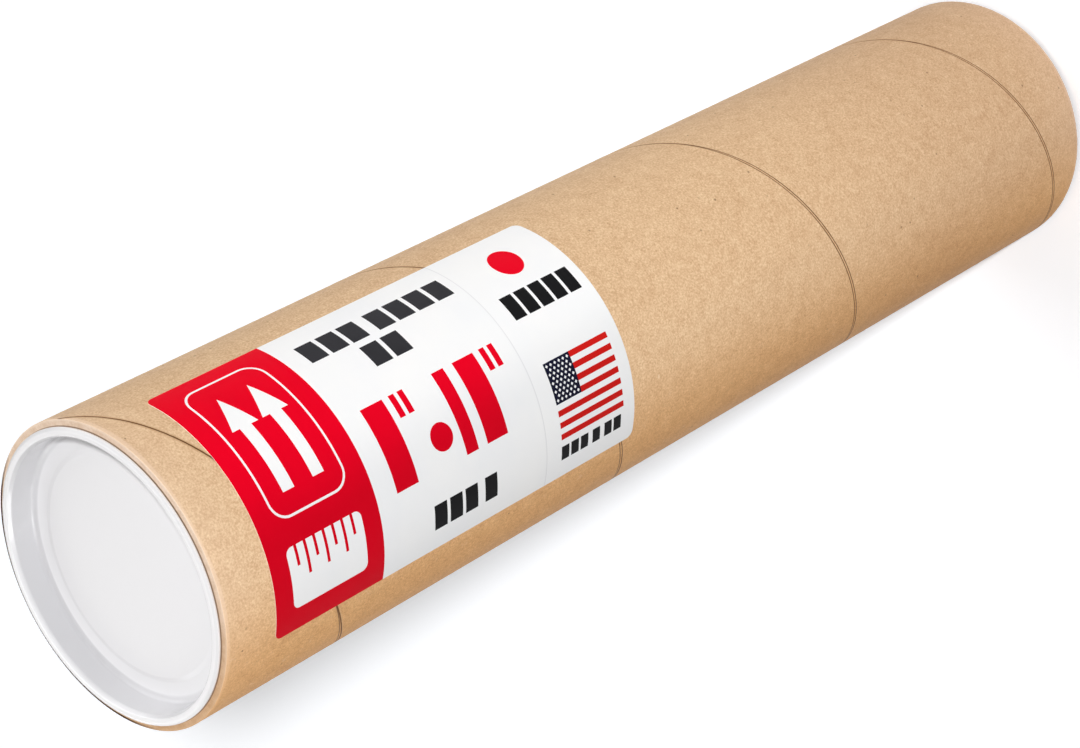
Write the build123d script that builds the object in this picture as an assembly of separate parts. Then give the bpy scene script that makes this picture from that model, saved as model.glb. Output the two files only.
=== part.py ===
from build123d import *
from math import cos, pi, radians, sin
import os

# A spiral-wound paperboard mailing tube that stands on one of its two push-in end caps.
# Lengths are in millimetres. +Z is up and the label faces -Y.
# The origin is on the floor, on the tube's axis.

# Paperboard tube
outside_radius = 50.8
tube_length = 457.2
board_thickness = 4.57
end_edge_rounding = 0.35

# Seam of the outer ply, a shallow groove that climbs to the right
seam_pitch = 132.7
seam_width = 0.7
seam_depth = 0.3
seam_below_top = 26.1
seam_overrun = 6.0

# End caps, both alike
rim_inset = 2.3
flange_thickness = 1.3
seat_gap = 0.3
recess_depth = 9.6
plug_wall = 0.8
plug_clearance = 0.25
plug_draft = 0.4
floor_thickness = 1.5
outer_lip_rounding = 0.55
inner_lip_rounding = 1.1
floor_corner_rounding = 1.5
plug_lead_in = 0.7
grip_ring_count = 3
grip_ring_clearance = 0.05
grip_ring_width = 0.9
grip_ring_crest = 0.3
grip_ring_spacing = 2.4
floor_step_inset = 8.1
floor_step_height = 0.25
floor_step_slope = 0.5

# Paper label, read along the tube from its top end
label_length = 163.9
label_height = 92.5
label_below_top = 19.6
label_thickness = 0.2
label_corner = 2.6
label_middle_turn = -90
ink_thickness = 0.1

# Red field at the start of the label, with white shapes left open in it
field_length = 45.4
frame_start = 7.2
frame_length = 31.0
frame_top = 5.7
frame_height = 51.0
frame_line = 0.8
frame_corner = 6.4
arrow_count = 2
arrow_spacing = 12.2
arrow_margin = 7.5
arrow_head_width = 10.4
arrow_head_height = 13.0
arrow_shaft_width = 4.6
gauge_below_frame = 7.9
gauge_height = 20.0
gauge_corner = 2.4
gauge_tick_count = 7
gauge_tick_width = 1.1
gauge_tick_height = 6.5
gauge_long_tick_height = 10.5

# Rows of blocks, with the number of blocks in each run
# The title row ends a clear space before the far column
title_start = 52.9
title_top = 8.4
title_height = 8.6
title_to_column = 11.2
title_gap = 1.7
title_run_gap = 4.4
title_run_counts = [3, 4]
subtitle_start = 70.3
subtitle_top = 19.6
subtitle_run_counts = [2]
packing_start = 67.9
packing_top = 76.4
packing_height = 8.6
packing_block = 5.6
packing_gap = 1.4
packing_run_gap = 3.4
packing_run_counts = [3, 1]
maker_top = 26.4
maker_height = 9.2
maker_block = 5.4
maker_gap = 1.3
maker_run_counts = [5]
foot_top = 80.8
foot_height = 5.0
foot_block = 3.7
foot_gap = 1.0
foot_run_gap = 2.2
foot_run_counts = [3, 1, 2]

# Red size mark in the middle of the label, plain bars and a disc in a row
# Starts and widths are shares of the mark's length, which ends a clear space before the far column
mark_start = 54.0
mark_to_column = 14.4
mark_top = 38.2
mark_height = 28.0
mark_bar_shares = [(0.0, 0.16), (0.53, 0.09), (0.69, 0.16)]
mark_tick_shares = [(0.205, 0.04), (0.27, 0.04), (0.895, 0.04), (0.96, 0.04)]
mark_tick_height_share = 0.28
mark_disc_share = 0.4
mark_disc_gap = 3.07

# Red disc above the row of wide blocks
badge_below_edge = 14.8
badge_radius = 6.2

# Column at the far end of the label, with a striped panel that has a dotted dark corner
column_margin = 5.5
stripe_length = 31.0
stripe_top = 52.0
stripe_pitch = 4.05
stripe_height = 2.03
stripe_count = 7
canton_stripe_count = 4
canton_length = 12.3
canton_height = 14.1
dot_row_count = 9
dot_column_count = 6
dot_size = 1.0
dot_margin = 1.2

# Sizes that follow from the ones above
bore_radius = outside_radius - board_thickness
cap_proud = flange_thickness + seat_gap
board_top = cap_proud + tube_length
overall_height = board_top + cap_proud
plug_radius = bore_radius - plug_clearance
mouth_radius = plug_radius - plug_wall
floor_edge_radius = mouth_radius - plug_draft
floor_step_radius = floor_edge_radius - floor_step_inset
rim_radius = outside_radius - rim_inset
plug_end = recess_depth + floor_thickness
label_outside = outside_radius + label_thickness
ink_outside = label_outside + ink_thickness
frame_centre = frame_start + frame_length / 2
column_start = label_length - column_margin - stripe_length
mark_length = column_start - mark_to_column - mark_start
mark_disc_radius = (mark_bar_shares[1][0] - mark_disc_share) * mark_length - mark_disc_gap
title_block_count = sum(title_run_counts)
title_run_count = len(title_run_counts)
title_gaps = (title_block_count - title_run_count) * title_gap + (title_run_count - 1) * title_run_gap
title_block = (column_start - title_to_column - title_start - title_gaps) / title_block_count


def tube_profile():
    """Half section of the plain tube, with its end edges rounded."""
    board = Plane.XZ * Pos((bore_radius + outside_radius) / 2, cap_proud + tube_length / 2) * Rectangle(
        board_thickness, tube_length
    )
    return fillet(board.vertices(), end_edge_rounding)


def seam_groove():
    """V-shaped helix that cuts the seam into the tube's outside."""
    start_height = cap_proud - seam_overrun
    seam_at_front = board_top - seam_below_top
    start_turn = label_middle_turn + (start_height - seam_at_front) / seam_pitch * 360
    path = Helix(seam_pitch, tube_length + 2 * seam_overrun, outside_radius)
    section = Plane(path @ 0, x_dir=(1, 0, 0), z_dir=path % 0) * Polygon(
        (-seam_depth, 0), (seam_depth, seam_width), (seam_depth, -seam_width), align=None
    )
    groove = sweep(section, path, is_frenet=True)
    return Rot(0, 0, start_turn) * Pos(0, 0, start_height) * groove


def tube_body():
    """Paperboard tube with its spiral seam."""
    return revolve(tube_profile(), Axis.Z) - seam_groove()


def near(corners, across, height):
    """The corner of a section that lies closest to a point."""
    return min(corners, key=lambda corner: abs(corner.X - across) + abs(corner.Z - height))


def grip_ring_points():
    """Ridges round the plug, from its inner end up, that almost touch the bore."""
    crest_radius = bore_radius - grip_ring_clearance
    stack = (grip_ring_count - 1) * grip_ring_spacing
    first_centre = -(plug_end - plug_lead_in + flange_thickness) / 2 - stack / 2
    points = []
    for ring in range(grip_ring_count):
        centre = first_centre + ring * grip_ring_spacing
        points += [
            (plug_radius, centre - grip_ring_width / 2),
            (crest_radius, centre - grip_ring_crest / 2),
            (crest_radius, centre + grip_ring_crest / 2),
            (plug_radius, centre + grip_ring_width / 2),
        ]
    return points


def cap_profile():
    """Half section of an end cap, with the rim's face at height zero and the plug below it."""
    step_top = floor_step_height - recess_depth
    outline = Plane.XZ * Polygon(
        (0, -plug_end),
        (plug_radius - plug_lead_in, -plug_end),
        (plug_radius, plug_lead_in - plug_end),
        *grip_ring_points(),
        (plug_radius, -flange_thickness),
        (rim_radius, -flange_thickness),
        (rim_radius, 0),
        (mouth_radius, 0),
        (floor_edge_radius, -recess_depth),
        (floor_step_radius + floor_step_slope, -recess_depth),
        (floor_step_radius, step_top),
        (0, step_top),
        align=None,
    )
    outline = fillet(near(outline.vertices(), floor_edge_radius, -recess_depth), floor_corner_rounding)
    outline = fillet(near(outline.vertices(), mouth_radius, 0), inner_lip_rounding)
    return fillet(near(outline.vertices(), rim_radius, 0), outer_lip_rounding)


def end_cap():
    """Moulded end cap: a flanged cup with grip rings round its plug."""
    return revolve(cap_profile(), Axis.Z)


def shell(inside, outside):
    """Thin sleeve round the tube over the label's height."""
    sleeve = Cylinder(outside, label_length) - Cylinder(inside, label_length)
    return Pos(0, 0, board_top - label_below_top - label_length / 2) * sleeve


label_shell = shell(outside_radius, label_outside)
ink_shell = shell(label_outside, ink_outside)


def stamp(sleeve, along, across, sketch):
    """The part of a sleeve under a flat outline pressed on it along its own radius."""
    turn = radians(label_middle_turn) + (label_height / 2 - across) / outside_radius
    tangent = Plane(
        origin=(0, 0, board_top - label_below_top - along),
        x_dir=(0, 0, -1),
        z_dir=(cos(turn), sin(turn), 0),
    )
    return sleeve & extrude(tangent * sketch, 2 * outside_radius)


def chord(arc_length):
    """Straight width of an arc on the tube's surface."""
    return 2 * outside_radius * sin(arc_length / outside_radius / 2)


def plate(sleeve, start, length, top, height, corner=0):
    """Rectangle on the label, with its corners rounded if asked."""
    if corner:
        outline = RectangleRounded(length, chord(height), corner)
    else:
        outline = Rectangle(length, chord(height))
    return stamp(sleeve, start + length / 2, top + height / 2, outline)


def disc(centre, across, radius):
    """Round spot of ink."""
    return stamp(ink_shell, centre, across, Circle(radius))


def block_row(start, top, height, block, gap, run_gap, run_counts):
    """Row of equal blocks in runs, with a wider gap between runs."""
    blocks = []
    for count in run_counts:
        for number in range(count):
            blocks.append(plate(ink_shell, start, block, top, height))
            start += block + gap
        start += run_gap - gap
    return blocks


def frame_line_ring():
    """Thin line with rounded corners, as a rounded plate less a smaller one."""
    outer = plate(ink_shell, frame_start, frame_length, frame_top, frame_height, frame_corner)
    inner = plate(
        ink_shell,
        frame_start + frame_line,
        frame_length - 2 * frame_line,
        frame_top + frame_line,
        frame_height - 2 * frame_line,
        frame_corner - frame_line,
    )
    return outer - inner


def arrow(along):
    """Plain arrow that points to the label's top edge."""
    arrow_height = frame_height - 2 * arrow_margin
    half = chord(arrow_height) / 2
    shoulder = half - arrow_head_height
    outline = Polygon(
        (0, half),
        (-arrow_head_width / 2, shoulder),
        (-arrow_shaft_width / 2, shoulder),
        (-arrow_shaft_width / 2, -half),
        (arrow_shaft_width / 2, -half),
        (arrow_shaft_width / 2, shoulder),
        (arrow_head_width / 2, shoulder),
        align=None,
    )
    return stamp(ink_shell, along, frame_top + frame_height / 2, outline)


def gauge_strip():
    """Rounded strip with a row of ticks cut from its top edge, every second one long."""
    gauge_top = frame_top + frame_height + gauge_below_frame
    strip = plate(ink_shell, frame_start, frame_length, gauge_top, gauge_height, gauge_corner)
    tick_pitch = frame_length / (gauge_tick_count + 1)
    for tick in range(gauge_tick_count):
        tick_height = gauge_long_tick_height if tick % 2 else gauge_tick_height
        tick_start = frame_start + (tick + 1) * tick_pitch - gauge_tick_width / 2
        strip -= plate(ink_shell, tick_start, gauge_tick_width, gauge_top, tick_height)
    return strip


def red_field():
    """Red end of the label with the frame, arrows and gauge strip left open."""
    field = plate(ink_shell, 0, label_length, 0, label_height, label_corner)
    field &= plate(ink_shell, 0, field_length, 0, label_height)
    field -= frame_line_ring()
    for number in range(arrow_count):
        field -= arrow(frame_centre + (number - (arrow_count - 1) / 2) * arrow_spacing)
    return field - gauge_strip()


def size_mark():
    """Bars, short ticks and a disc in a row."""
    disc_height = mark_top + mark_height - 2 * mark_disc_radius
    marks = [disc(mark_start + mark_disc_share * mark_length, disc_height, mark_disc_radius)]
    for start, width in mark_bar_shares:
        start_length = mark_start + start * mark_length
        marks.append(plate(ink_shell, start_length, width * mark_length, mark_top, mark_height))
    for start, width in mark_tick_shares:
        start_length = mark_start + start * mark_length
        tick_height = mark_tick_height_share * mark_height
        marks.append(plate(ink_shell, start_length, width * mark_length, mark_top, tick_height))
    return marks


def stripes():
    """Red stripes, the first ones short to leave room for the dark corner."""
    bars = []
    for number in range(stripe_count):
        inset = canton_length if number < canton_stripe_count else 0
        top = stripe_top + number * stripe_pitch
        bars.append(plate(ink_shell, column_start + inset, stripe_length - inset, top, stripe_height))
    return bars


def dotted_corner():
    """Dark corner of the striped panel with staggered rows of small diamonds left open."""
    corner = plate(ink_shell, column_start, canton_length, stripe_top, canton_height)
    row_pitch = (canton_height - 2 * dot_margin) / (dot_row_count - 1)
    dot_pitch = (canton_length - 2 * dot_margin) / (dot_column_count - 1)
    diamond = Rot(0, 0, 45) * Rectangle(dot_size, dot_size)
    for row in range(dot_row_count):
        stagger = row % 2
        for place in range(dot_column_count - stagger):
            along = column_start + dot_margin + (place + stagger / 2) * dot_pitch
            across = stripe_top + dot_margin + row * row_pitch
            corner -= stamp(ink_shell, along, across, diamond)
    return corner


def red_print():
    """All red ink."""
    badge = disc(column_start + stripe_length / 2, badge_below_edge, badge_radius)
    return Compound(children=[red_field(), badge] + size_mark() + stripes())


def dark_print():
    """All dark rows of blocks."""
    title = (title_height, title_block, title_gap, title_run_gap)
    packing = (packing_height, packing_block, packing_gap, packing_run_gap)
    maker = (maker_height, maker_block, maker_gap, maker_gap)
    foot = (foot_height, foot_block, foot_gap, foot_run_gap)
    rows = block_row(title_start, title_top, *title, title_run_counts)
    rows += block_row(subtitle_start, subtitle_top, *title, subtitle_run_counts)
    rows += block_row(packing_start, packing_top, *packing, packing_run_counts)
    rows += block_row(column_start, maker_top, *maker, maker_run_counts)
    rows += block_row(column_start, foot_top, *foot, foot_run_counts)
    return Compound(children=rows)


nodes = {
    "tube_body": tube_body(),
    "top_end_cap": Pos(0, 0, overall_height) * end_cap(),
    "bottom_end_cap": Rot(180, 0, 0) * end_cap(),
    "paper_label": plate(label_shell, 0, label_length, 0, label_height, label_corner),
    "red_print": red_print(),
    "dark_print": dark_print(),
    "navy_print": dotted_corner(),
}

os.makedirs("parts", exist_ok=True)
for name, shape in nodes.items():
    export_step(shape, "parts/" + name + ".step")
    size = shape.bounding_box().size
    print(name, len(shape.solids()), "solids", round(size.X, 2), round(size.Y, 2), round(size.Z, 2))
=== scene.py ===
import math

import bmesh
import bpy
import numpy as np
from mathutils import Matrix, Vector


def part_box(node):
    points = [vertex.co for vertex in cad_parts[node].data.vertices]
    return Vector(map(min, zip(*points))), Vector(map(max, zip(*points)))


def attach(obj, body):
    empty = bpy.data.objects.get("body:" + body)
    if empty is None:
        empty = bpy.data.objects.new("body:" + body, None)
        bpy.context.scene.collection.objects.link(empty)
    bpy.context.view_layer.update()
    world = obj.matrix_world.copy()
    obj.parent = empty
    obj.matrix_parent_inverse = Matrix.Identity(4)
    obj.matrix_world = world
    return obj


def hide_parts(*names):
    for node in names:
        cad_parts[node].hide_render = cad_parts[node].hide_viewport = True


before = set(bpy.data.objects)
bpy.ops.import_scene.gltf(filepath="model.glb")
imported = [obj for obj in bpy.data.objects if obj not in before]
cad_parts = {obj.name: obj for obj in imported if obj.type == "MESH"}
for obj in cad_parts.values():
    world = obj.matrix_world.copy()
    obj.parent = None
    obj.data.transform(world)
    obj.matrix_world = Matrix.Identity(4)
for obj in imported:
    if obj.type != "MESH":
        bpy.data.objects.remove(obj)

# Looks of a spiral-wound mailing tube with two push-in caps and a printed paper label.
# Lengths in the dictionaries are millimetres, and mm turns them into metres.
mm = 0.001
turn = 2 * math.pi
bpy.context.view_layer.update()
tubeLow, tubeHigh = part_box("tube_body")
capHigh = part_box("top_end_cap")[1]
tubeRadius = tubeHigh.x  # outside of the board
labelRadius = -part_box("paper_label")[0].y  # outside of the paper
rimRadius = max(capHigh.x, capHigh.y)  # flange of a cap
print("frame loaded, tube radius", round(tubeRadius, 4), "height", round(capHigh.z, 4))


# Small helpers for meshes

def meshFromGrid(name, points, wrapColumns, wrapRows, rowMaterials=None, columnShift=0, lastShifted=0):
    # points is rows by columns by 3. Face (i, j) joins rows i, i+1 and columns j, j+1.
    # columnShift moves the row number on by that many where the last column meets the first,
    # for the rows up to lastShifted, as the turns of a helix need.
    rows, columns = points.shape[:2]
    i = np.arange(rows if wrapRows else rows - 1)
    j = np.arange(columns if wrapColumns else columns - 1)
    rowGrid, columnGrid = np.meshgrid(i, j, indexing="ij")
    nextRow = (rowGrid + 1) % rows
    nextColumn = (columnGrid + 1) % columns

    def shifted(row):
        inside = (row <= lastShifted) & (columnGrid == columns - 1)
        return np.where(inside, np.clip(row + columnShift, 0, lastShifted), row)

    a = rowGrid * columns + columnGrid
    b = shifted(rowGrid) * columns + nextColumn
    c = shifted(nextRow) * columns + nextColumn
    d = nextRow * columns + columnGrid
    faces = np.stack([a, b, c, d], -1).reshape(-1, 4)
    mesh = bpy.data.meshes.new(name)
    mesh.vertices.add(rows * columns)
    mesh.vertices.foreach_set("co", points.reshape(-1).astype(np.float32))
    mesh.loops.add(faces.size)
    mesh.loops.foreach_set("vertex_index", faces.reshape(-1).astype(np.int32))
    mesh.polygons.add(len(faces))
    mesh.polygons.foreach_set("loop_start", np.arange(0, faces.size, 4, dtype=np.int32))
    if rowMaterials is not None:
        mesh.polygons.foreach_set("material_index", rowMaterials[rowGrid.reshape(-1)].astype(np.int32))
    mesh.update(calc_edges=True)
    return mesh


def finishMesh(name, mesh, materials, body, replaced, sharpAngle):
    # Merges rows that were laid on one another, drops faces without area and turns faces outwards
    shape = bmesh.new()
    shape.from_mesh(mesh)
    bmesh.ops.remove_doubles(shape, verts=shape.verts, dist=2e-6)
    bmesh.ops.dissolve_degenerate(shape, edges=shape.edges, dist=1e-7)
    bmesh.ops.recalc_face_normals(shape, faces=shape.faces)
    shape.to_mesh(mesh)
    shape.free()
    mesh.polygons.foreach_set("use_smooth", np.ones(len(mesh.polygons), bool))
    mesh.set_sharp_from_angle(angle=math.radians(sharpAngle))
    piece = bpy.data.objects.new(name, mesh)
    bpy.context.scene.collection.objects.link(piece)
    for material in materials:
        mesh.materials.append(material)
    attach(piece, body)
    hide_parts(replaced)
    print(name, len(mesh.polygons), "faces")


def roundedLine(corners, radii, steps=9):
    # A line through corners in which each corner with a radius becomes an arc that touches both sides
    line = []
    befores = [corners[0]] + corners[:-1]
    afters = corners[1:] + [corners[-1]]
    for here, radius, before, after in zip(corners, radii, befores, afters):
        here, before, after = np.array(here, float), np.array(before, float), np.array(after, float)
        if radius == 0:
            line.append(here[None])
            continue
        inward = (before - here) / np.linalg.norm(before - here)
        outward = (after - here) / np.linalg.norm(after - here)
        half = np.arccos(np.clip(inward @ outward, -1, 1)) / 2
        middle = here + (inward + outward) / np.linalg.norm(inward + outward) * radius / np.sin(half)
        start = here + inward * radius / np.tan(half) - middle
        end = here + outward * radius / np.tan(half) - middle
        sweep = np.arctan2(start[0] * end[1] - start[1] * end[0], start @ end)
        angle = np.linspace(0, sweep, steps)[:, None]
        side = np.array([-start[1], start[0]])
        line.append(middle + start * np.cos(angle) + side * np.sin(angle))
    return np.concatenate(line)


def ripple(*phases):
    # Slow uneven wave between -1 and 1, the mean of sines of the given phase arrays
    return sum(np.sin(phase + 1.7 * k) for k, phase in enumerate(phases)) / len(phases)


# Small helpers for materials

class Nodes:
    # Node tree of one material, with a short call for each kind of node it uses
    def __init__(self, name):
        self.material = bpy.data.materials.new(name)
        self.material.use_nodes = True
        self.tree = self.material.node_tree
        self.tree.nodes.clear()
        self.output = self.tree.nodes.new("ShaderNodeOutputMaterial")
        coordinates = self.tree.nodes.new("ShaderNodeTexCoord")
        self.place = coordinates.outputs["Object"]

    def link(self, source, socket):
        if hasattr(source, "is_linked"):
            self.tree.links.new(source, socket)
        else:
            socket.default_value = source

    def math(self, operation, a, b=0.0, c=0.0):
        node = self.tree.nodes.new("ShaderNodeMath")
        node.operation = operation
        for value, socket in zip((a, b, c), node.inputs):
            self.link(value, socket)
        return node.outputs[0]

    def separate(self, vector):
        node = self.tree.nodes.new("ShaderNodeSeparateXYZ")
        self.link(vector, node.inputs[0])
        return node.outputs[0], node.outputs[1], node.outputs[2]

    def combine(self, x, y, z):
        node = self.tree.nodes.new("ShaderNodeCombineXYZ")
        for value, socket in zip((x, y, z), node.inputs):
            self.link(value, socket)
        return node.outputs[0]

    def noise(self, vector, scale, detail=2.0, roughness=0.5, distortion=0.0):
        node = self.tree.nodes.new("ShaderNodeTexNoise")
        self.link(vector, node.inputs["Vector"])
        settings = {"Scale": scale, "Detail": detail, "Roughness": roughness, "Distortion": distortion}
        for key, value in settings.items():
            node.inputs[key].default_value = value
        return node.outputs["Fac"]

    def cells(self, vector, scale):
        # Distance to the middle of the nearest cell, and three random numbers that the cell keeps
        node = self.tree.nodes.new("ShaderNodeTexVoronoi")
        self.link(vector, node.inputs["Vector"])
        node.inputs["Scale"].default_value = scale
        return node.outputs["Distance"], self.separate(node.outputs["Color"])

    def fromAxis(self):
        x, y, z = self.separate(self.place)
        return self.math("SQRT", self.math("ADD", self.math("MULTIPLY", x, x), self.math("MULTIPLY", y, y)))

    def ramp(self, value, low, high, outLow=0.0, outHigh=1.0, smooth=False):
        # Rise from outLow at low to outHigh at high, straight or eased, held flat outside
        node = self.tree.nodes.new("ShaderNodeMapRange")
        node.clamp = True
        node.interpolation_type = "SMOOTHSTEP" if smooth else "LINEAR"
        settings = {"Value": value, "From Min": low, "From Max": high, "To Min": outLow, "To Max": outHigh}
        for key, number in settings.items():
            self.link(number, node.inputs[key])
        return node.outputs["Result"]

    def mix(self, share, first, second, blend="MIX"):
        node = self.tree.nodes.new("ShaderNodeMix")
        node.data_type = "RGBA"
        node.blend_type = blend
        node.clamp_factor = True
        self.link(share, node.inputs["Factor"])
        self.link(first, node.inputs[6])
        self.link(second, node.inputs[7])
        return node.outputs[2]

    def layer(self, share, strength, color, over):
        # Lays a colour over another where share is 1, as strongly as strength says
        return self.mix(self.math("MULTIPLY", share, strength), over, color)

    def bump(self, height, distance, strength):
        node = self.tree.nodes.new("ShaderNodeBump")
        self.link(height, node.inputs["Height"])
        node.inputs["Distance"].default_value = distance
        node.inputs["Strength"].default_value = strength
        return node.outputs["Normal"]

    def shader(self, color, roughness, normal, **constants):
        node = self.tree.nodes.new("ShaderNodeBsdfPrincipled")
        self.link(color, node.inputs["Base Color"])
        self.link(roughness, node.inputs["Roughness"])
        self.link(normal, node.inputs["Normal"])
        for key, value in constants.items():
            node.inputs[key.replace("_", " ")].default_value = value
        self.tree.links.new(node.outputs[0], self.output.inputs["Surface"])
        return self.material


def srgb(red, green, blue):
    # Display values from 0 to 255 turned into the renderer's linear colour
    shares = np.array([red, green, blue]) / 255
    linear = np.where(shares <= 0.04045, shares / 12.92, ((shares + 0.055) / 1.055) ** 2.4)
    return (*linear.tolist(), 1.0)


# Paperboard tube

tube = dict(
    columns=384,
    seamPitch=132.7,  # height of one turn
    seamBelowTop=26.1,  # from the top to where the seam crosses the label's middle line
    seamWidth=0.6, seamDepth=0.12,
    plyLift=0.04,  # the upper ply's edge stands a little proud
    boardThickness=4.57,
    cornerRounding=0.3, cornerSteps=7,
    waviness=0.05,
    endRings=14, boreRings=40,  # rows of vertices across a cut end and down the bore
    seamRows=[  # rows of vertices in a turn, by their height over the seam
        -64, -56, -48, -40, -32, -24, -16, -9, -5, -3, -2, -1.3, -0.9, -0.65, -0.48, -0.36, -0.27, -0.18, -0.09,
        0, 0.09, 0.18, 0.27, 0.36, 0.48, 0.65, 0.9, 1.3, 2, 3, 5, 9, 16, 24, 32, 40, 48, 56,
    ],
)
seamTop = tubeHigh.z - tube["seamBelowTop"] * mm
seamPitch = tube["seamPitch"] * mm


def tubeMesh():
    # Outside: radius = R - waviness - groove(d), where d is the height above the nearest turn of the seam,
    # and each row of vertices follows the helix z = seam + d + pitch * angle / turn, cut off at the two ends.
    # Rows then go round the end corners, across the cut ends and through the bore, so the board is closed.
    columns = tube["columns"]
    angle = np.arange(columns) / columns * turn - turn / 4  # starts in the middle of the label
    climb = (angle + turn / 4) / turn
    low, high = tubeLow.z, tubeHigh.z
    rounding = tube["cornerRounding"] * mm
    offsets = np.array(tube["seamRows"]) * mm
    rowsPerTurn = len(offsets)
    firstTurn = math.floor((low - seamTop) / seamPitch) - 2
    lastTurn = math.ceil((high - seamTop) / seamPitch) + 1
    turns = np.arange(firstTurn, lastTurn + 1)
    rowHeights = (turns[:, None] * seamPitch + offsets[None]).reshape(-1) + seamTop
    z = np.clip(rowHeights[:, None] + seamPitch * climb[None], low + rounding, high - rounding)
    d = (z - seamTop - seamPitch * climb + seamPitch / 2) % seamPitch - seamPitch / 2
    wide = tube["seamWidth"] * mm * (0.8 + 0.5 * ripple(angle * 3 + z * 40, angle * 7 - z * 90))
    groove = tube["seamDepth"] * mm * np.exp(-(np.abs(d) / wide * 2) ** 4)
    lift = tube["plyLift"] * mm * (1 - np.exp(-((d - 0.9 * mm) / (0.8 * mm)) ** 2))
    wave = tube["waviness"] * mm * (1 + ripple(angle * 3 + z * 9, angle * 5 - z * 17, angle * 2 + z * 31)) / 2
    radius = tubeRadius - groove - lift - wave
    outside = np.stack([radius * np.cos(angle), radius * np.sin(angle), z], -1)

    def ring(line):
        # One row for each (radius, height) of a line, turned about the axis
        r, h = line[:, 0:1], line[:, 1:2]
        return np.stack([r * np.cos(angle), r * np.sin(angle), h + 0 * angle], -1)

    def corner(centreRadius, centreHeight, start, stop):
        bend = np.linspace(start, stop, tube["cornerSteps"])
        return np.stack([centreRadius + rounding * np.cos(bend), centreHeight + rounding * np.sin(bend)], 1)

    bore = tubeRadius - tube["boardThickness"] * mm
    edge = tubeRadius - tube["waviness"] * mm / 2 - tube["plyLift"] * mm
    right = math.pi / 2
    across = np.linspace(edge - rounding, bore + rounding, tube["endRings"])[1:-1]
    topCorner = corner(edge - rounding, high - rounding, 0, right)[1:]
    topFace = np.stack([across, np.full_like(across, high)], 1)
    topInner = corner(bore + rounding, high - rounding, right, 2 * right)
    boreHeights = np.linspace(high - rounding, low + rounding, tube["boreRings"])[1:-1]
    boreLine = np.stack([np.full_like(boreHeights, bore), boreHeights], 1)
    lowInner = corner(bore + rounding, low + rounding, 2 * right, 3 * right)
    lowFace = np.stack([across[::-1], np.full_like(across, low)], 1)
    lowCorner = corner(edge - rounding, low + rounding, 3 * right, 4 * right)[:-1]
    inside = np.concatenate([topCorner, topFace, topInner, boreLine, lowInner, lowFace, lowCorner])
    points = np.concatenate([outside, ring(inside)])
    # Each row of faces gets the finish of the row that starts it: 0 outside, 1 cut end, 2 bore
    endRows = len(topFace) + tube["cornerSteps"]
    boreRows = len(boreLine) + tube["cornerSteps"]
    rowFinish = [0] * (len(outside) + 2) + [1] * endRows + [2] * boreRows + [1] * endRows
    finish = np.array(rowFinish + [0] * (len(points) - len(rowFinish)))
    return meshFromGrid("tubeBoard", points, True, True, finish, rowsPerTurn, len(outside) - 1)


def helixDistance(nodes):
    # Height in metres above or below the nearest turn of the seam, with the same helix as the mesh
    x, y, z = nodes.separate(nodes.place)
    around = nodes.math("DIVIDE", nodes.math("ARCTAN2", y, x), turn)
    climb = nodes.math("MULTIPLY", nodes.math("ADD", around, 0.25), seamPitch)
    above = nodes.math("SUBTRACT", nodes.math("SUBTRACT", z, seamTop), climb)
    wrapped = nodes.math("WRAP", above, seamPitch / 2, -seamPitch / 2)
    return wrapped, nodes.math("MULTIPLY", around, tubeRadius * turn), z


shadedSide = (-0.978, 0.208)  # side of the tube on which paper, board end and print get painted shade, darker and warmer


def onShadedSide(nodes, start, stop):
    # 0 to 1 as the surface turns to the side given painted shade: the place along that direction over the tube's
    # radius, eased
    x, y, z = nodes.separate(nodes.place)
    east, north = shadedSide
    facing = nodes.math("MULTIPLY_ADD", x, east / tubeRadius, nodes.math("MULTIPLY", y, north / tubeRadius))
    return nodes.ramp(facing, start, stop, smooth=True)


def tinted(nodes, share, color, tint):
    # Multiplies the colour by a tint where share is 1
    return nodes.mix(share, color, nodes.mix(1.0, color, (*tint, 1.0), "MULTIPLY"))


kraft = dict(
    color=srgb(222, 188, 150),
    kraftShadeTint=(0.97, 0.76, 0.49), kraftShadeFrom=0.1, kraftShadeTo=1.0,  # painted shade, darker and warmer on the shaded side
    floorShadeTint=(0.84, 0.81, 0.81), floorShadeHeight=230.0,  # painted shade, darker near the floor, eased out by this height, but not where both meet
    sparedFrom=0.2, sparedTo=0.8, sparedBelow=20.0, sparedAbove=110.0,  # but not where both meet
    grain=1450.0, grainContrast=0.84,  # pulp fibres a millimetre long
    pulp=220.0, pulpContrast=0.26,  # mottles of a few millimetres
    cloud=14.0, cloudContrast=0.06,  # clouds of several centimetres
    greenPower=1.45, bluePower=1.8,  # a darker mottle loses more green and blue than red
    fibres=230.0, fibreCurl=1.3,
    paleFibre=srgb(240, 207, 169), paleWidth=0.016, paleShare=0.3,
    darkFibre=srgb(184, 149, 111), darkWidth=0.014, darkShare=0.22, darkShift=0.7,
    specks=270.0, speckColor=srgb(112, 76, 46), speckSmall=0.1, speckLarge=0.19, speckRare=0.9, speckShare=0.75,
    flecks=160.0, fleckColor=srgb(248, 226, 196), fleckStretch=0.7, fleckRare=0.92, fleckShare=0.55,
    fadedWidth=22.0, fadedShare=0.22,  # paler paper towards the trimmed ends
    rubbedWidth=1.7, rubbedRagged=3.0, rubbedShare=0.6, rubbedColor=srgb(242, 214, 188),
    roughness=0.72, bumpHeight=0.06, bumpStrength=0.2,
    boreTint=0.86,
)
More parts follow.
